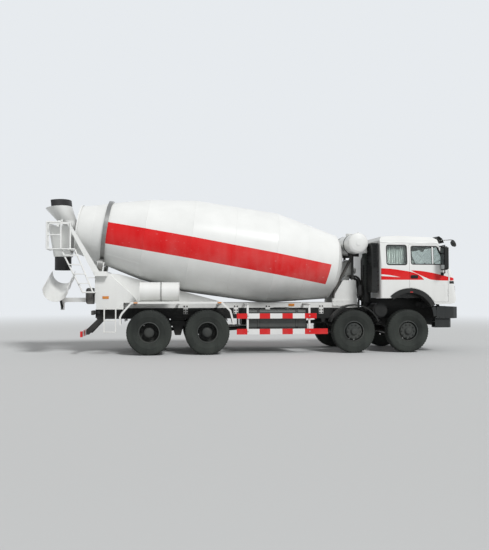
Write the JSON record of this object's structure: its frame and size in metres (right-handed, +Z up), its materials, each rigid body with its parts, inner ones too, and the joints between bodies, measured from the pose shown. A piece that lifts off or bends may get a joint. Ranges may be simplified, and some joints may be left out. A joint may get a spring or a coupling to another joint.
{
  "type": "concrete mixer truck",
  "caption": "Concrete mixer truck with a tilting cab, steered front axles, twin rear wheels, inclined revolving drum, charging hopper and a swinging discharge chute on a jack.",
  "frame": {"origin": "on the ground, in the middle of the overall length and width", "axes": "+X forward, +Y to the vehicle's left, +Z up"},
  "size_m": [10.7795, 3.06, 4.0416],
  "materials": {
    "white_paint": "gloss",
    "chassis_paint": "satin",
    "red_paint": "gloss",
    "dark_plastic": "grained",
    "black_rubber": "matte",
    "tyre_rubber": "matte",
    "window_glass": "clear",
    "lamp_lens": "clear",
    "bare_steel": "satin",
    "cast_metal": "rough",
    "tank_aluminium": "satin",
    "cab_trim": "grained"
  },
  "bodies": {
    "chassis": {"frame_rails": "chassis_paint", "subframe": "white_paint", "front_pedestal": "white_paint", "drum_drive": "cast_metal", "rear_pedestal": "white_paint", "front_bumper": "dark_plastic", "lamps": "lamp_lens", "engine": "cast_metal", "axles": "cast_metal", "springs": "chassis_paint", "driveline": "chassis_paint", "fuel_tank": "tank_aluminium", "air_tanks": "chassis_paint", "intake_stack": "dark_plastic", "rear_fenders": "white_paint", "front_mudguards": "dark_plastic", "side_guards": "white_paint", "rear_guard": "red_paint", "ladders": "white_paint", "charging_hopper": "white_paint", "discharge_funnel": "white_paint", "rubber_skirts": "black_rubber", "water_tank": "white_paint", "spare_chute": "white_paint", "oil_cooler": "cast_metal"},
    "cab": {"cab_shell": "white_paint", "cab_glass": "window_glass", "cab_interior": "cab_trim", "roof_visor": "dark_plastic", "wheel_flares": "dark_plastic"},
    "front_flap": {"front_flap": "white_paint"},
    "door_left": {"door_left": "white_paint", "door_glass_left": "window_glass", "mirror_left": "dark_plastic"},
    "door_right": {"door_right": "white_paint", "door_glass_right": "window_glass", "mirror_right": "dark_plastic"},
    "knuckle_1_left": {"knuckle_1_left": "cast_metal"},
    "knuckle_1_right": {"knuckle_1_right": "cast_metal"},
    "knuckle_2_left": {"knuckle_2_left": "cast_metal"},
    "knuckle_2_right": {"knuckle_2_right": "cast_metal"},
    "tie_rod_1": {"tie_rod_1": "bare_steel"},
    "tie_rod_2": {"tie_rod_2": "bare_steel"},
    "wheel_1_left": {"wheel_1_left": "tyre_rubber"},
    "wheel_1_right": {"wheel_1_right": "tyre_rubber"},
    "wheel_2_left": {"wheel_2_left": "tyre_rubber"},
    "wheel_2_right": {"wheel_2_right": "tyre_rubber"},
    "wheel_3_left": {"wheel_3_left": "tyre_rubber"},
    "wheel_3_right": {"wheel_3_right": "tyre_rubber"},
    "wheel_4_left": {"wheel_4_left": "tyre_rubber"},
    "wheel_4_right": {"wheel_4_right": "tyre_rubber"},
    "drum": {"drum": "white_paint"},
    "roller_left": {"roller_left": "bare_steel"},
    "roller_right": {"roller_right": "bare_steel"},
    "chute_bracket": {"chute_bracket": "white_paint"},
    "chute": {"chute": "white_paint"},
    "jack_barrel": {"jack_barrel": "chassis_paint"},
    "jack_rod": {"jack_rod": "bare_steel"}
  },
  "joints": [
    {"name": "cab_tilt", "type": "hinge", "parent": "chassis", "child": "cab", "pos_m": [5.19, 0, 1.235], "axis": [0, 1, 0], "range_deg": [0, 50]},
    {"name": "door_left_hinge", "type": "hinge", "parent": "cab", "child": "door_left", "pos_m": [5.1125, 1.232, 2], "axis": [0, 0, -1], "range_deg": [0, 70]},
    {"name": "door_right_hinge", "type": "hinge", "parent": "cab", "child": "door_right", "pos_m": [5.1125, -1.232, 2], "axis": [0, 0, 1], "range_deg": [0, 70]},
    {"name": "flap_hinge", "type": "hinge", "parent": "cab", "child": "front_flap", "pos_m": [5.1905, 0, 2.1925], "axis": [0, -1, 0], "range_deg": [0, 75]},
    {"name": "steer_1_left", "type": "hinge", "parent": "chassis", "child": "knuckle_1_left", "pos_m": [4.04, 0.85, 0.5625], "axis": [0, 0, 1], "range_deg": [-38, 38]},
    {"name": "steer_1_right", "type": "hinge", "parent": "chassis", "child": "knuckle_1_right", "pos_m": [4.04, -0.85, 0.5625], "axis": [0, 0, 1], "range_deg": [-38, 38]},
    {"name": "tie_rod_1_pivot", "type": "hinge", "parent": "knuckle_1_left", "child": "tie_rod_1", "pos_m": [3.84, 0.85, 0.4475], "axis": [0, 0, 1], "range_deg": [-38, 38]},
    {"name": "steer_2_left", "type": "hinge", "parent": "chassis", "child": "knuckle_2_left", "pos_m": [2.59, 0.85, 0.5625], "axis": [0, 0, 1], "range_deg": [-25, 25]},
    {"name": "steer_2_right", "type": "hinge", "parent": "chassis", "child": "knuckle_2_right", "pos_m": [2.59, -0.85, 0.5625], "axis": [0, 0, 1], "range_deg": [-25, 25]},
    {"name": "tie_rod_2_pivot", "type": "hinge", "parent": "knuckle_2_left", "child": "tie_rod_2", "pos_m": [2.39, 0.85, 0.4475], "axis": [0, 0, 1], "range_deg": [-25, 25]},
    {"name": "wheel_1_left_spin", "type": "hinge", "parent": "knuckle_1_left", "child": "wheel_1_left", "pos_m": [4.04, 1.02, 0.5625], "axis": [0, 1, 0], "continuous": true},
    {"name": "wheel_1_right_spin", "type": "hinge", "parent": "knuckle_1_right", "child": "wheel_1_right", "pos_m": [4.04, -1.02, 0.5625], "axis": [0, 1, 0], "continuous": true},
    {"name": "wheel_2_left_spin", "type": "hinge", "parent": "knuckle_2_left", "child": "wheel_2_left", "pos_m": [2.59, 1.02, 0.5625], "axis": [0, 1, 0], "continuous": true},
    {"name": "wheel_2_right_spin", "type": "hinge", "parent": "knuckle_2_right", "child": "wheel_2_right", "pos_m": [2.59, -1.02, 0.5625], "axis": [0, 1, 0], "continuous": true},
    {"name": "wheel_3_left_spin", "type": "hinge", "parent": "chassis", "child": "wheel_3_left", "pos_m": [-1.21, 0.93, 0.5625], "axis": [0, 1, 0], "continuous": true},
    {"name": "wheel_3_right_spin", "type": "hinge", "parent": "chassis", "child": "wheel_3_right", "pos_m": [-1.21, -0.93, 0.5625], "axis": [0, 1, 0], "continuous": true},
    {"name": "wheel_4_left_spin", "type": "hinge", "parent": "chassis", "child": "wheel_4_left", "pos_m": [-2.66, 0.93, 0.5625], "axis": [0, 1, 0], "continuous": true},
    {"name": "wheel_4_right_spin", "type": "hinge", "parent": "chassis", "child": "wheel_4_right", "pos_m": [-2.66, -0.93, 0.5625], "axis": [0, 1, 0], "continuous": true},
    {"name": "drum_spin", "type": "hinge", "parent": "chassis", "child": "drum", "pos_m": [2.24, 0, 2.27], "axis": [-0.9903, 0, 0.1392], "continuous": true},
    {"name": "roller_left_spin", "type": "hinge", "parent": "chassis", "child": "roller_left", "pos_m": [-3.90846, 0.59096, 2.28184], "axis": [-0.9903, 0, 0.1392], "continuous": true},
    {"name": "roller_right_spin", "type": "hinge", "parent": "chassis", "child": "roller_right", "pos_m": [-3.90846, -0.59096, 2.28184], "axis": [-0.9903, 0, 0.1392], "continuous": true},
    {"name": "chute_swing", "type": "hinge", "parent": "chassis", "child": "chute_bracket", "pos_m": [-4.94, 0, 1.37], "axis": [0, 0, -1], "range_deg": [0, 180]},
    {"name": "chute_tilt", "type": "hinge", "parent": "chute_bracket", "child": "chute", "pos_m": [-4.94, 0, 1.64], "axis": [1, 0, 0], "range_deg": [-15, 18]},
    {"name": "jack_pivot", "type": "hinge", "parent": "chute_bracket", "child": "jack_barrel", "pos_m": [-4.94, -0.088, 1.155], "axis": [1, 0, 0], "range_deg": [-8, 10]},
    {"name": "jack_slide", "type": "slide", "parent": "jack_barrel", "child": "jack_rod", "axis": [0, -0.7518, 0.6593], "range_m": [-0.135, 0.115]}
  ],
  "couplings": [
    {"joint": "steer_1_right", "follows": "steer_1_left", "ratio": 1},
    {"joint": "tie_rod_1_pivot", "follows": "steer_1_left", "ratio": -1},
    {"joint": "steer_2_left", "follows": "steer_1_left", "ratio": 0.65},
    {"joint": "steer_2_right", "follows": "steer_1_left", "ratio": 0.65},
    {"joint": "tie_rod_2_pivot", "follows": "steer_1_left", "ratio": -0.65},
    {"joint": "roller_left_spin", "follows": "drum_spin", "ratio": -5.8667},
    {"joint": "roller_right_spin", "follows": "drum_spin", "ratio": -5.8667},
    {"joint": "jack_pivot", "follows": "chute_tilt", "ratio": 0.5},
    {"joint": "jack_slide", "follows": "chute_tilt", "m_per_rad": -0.42434}
  ]
}
